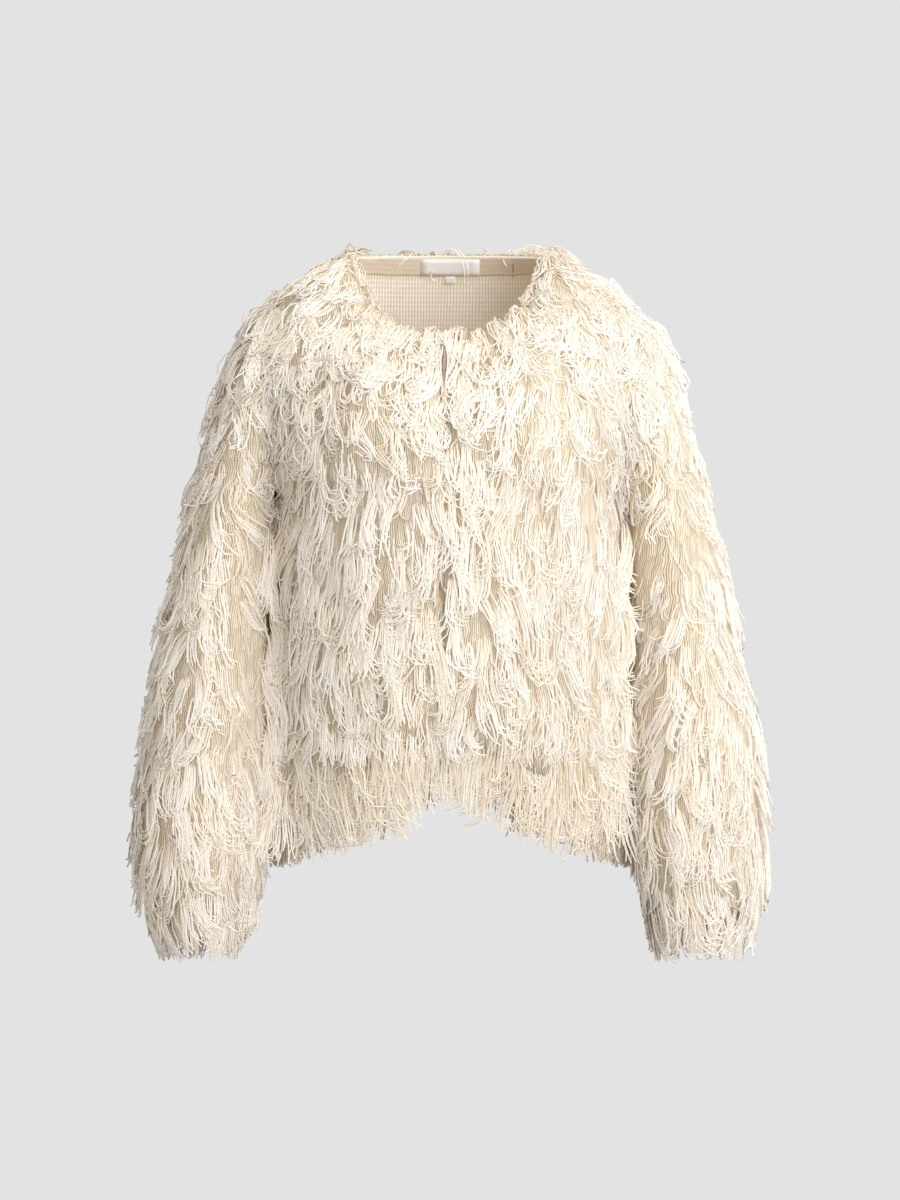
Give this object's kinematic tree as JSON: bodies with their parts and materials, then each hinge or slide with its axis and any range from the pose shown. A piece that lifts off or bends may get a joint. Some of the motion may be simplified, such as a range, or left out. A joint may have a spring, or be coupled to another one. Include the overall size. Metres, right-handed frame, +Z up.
{
  "type": "sweater jacket",
  "caption": "Cropped collarless knitted jacket with full sleeves, coated all over in long yarn fringe, hollow as worn.",
  "frame": {"origin": "midway between the two points where the shoulder seams meet the neckline, where the wearer's shoulders hold the jacket up", "axes": "+Z up, the front faces -Y, and the wearer's left is at +X"},
  "size_m": [0.5988, 0.2818, 0.6688],
  "materials": {
    "knit": "coarse plain knit in cream wool-like yarn",
    "fringe": "long loose ivory yarn ends, soft and slightly glossy",
    "neck_band": "fine beige knit band",
    "label": "white woven satin, bare"
  },
  "bodies": {
    "root": {"back": "knit", "front_left": "knit", "front_right": "knit", "sleeve_left": "knit", "sleeve_right": "knit", "fringe_back": "fringe", "fringe_front_left": "fringe", "fringe_front_right": "fringe", "fringe_sleeve_left": "fringe", "fringe_sleeve_right": "fringe", "neck_band": "neck_band", "label": "label", "size_tab": "label"}
  },
  "joints": []
}
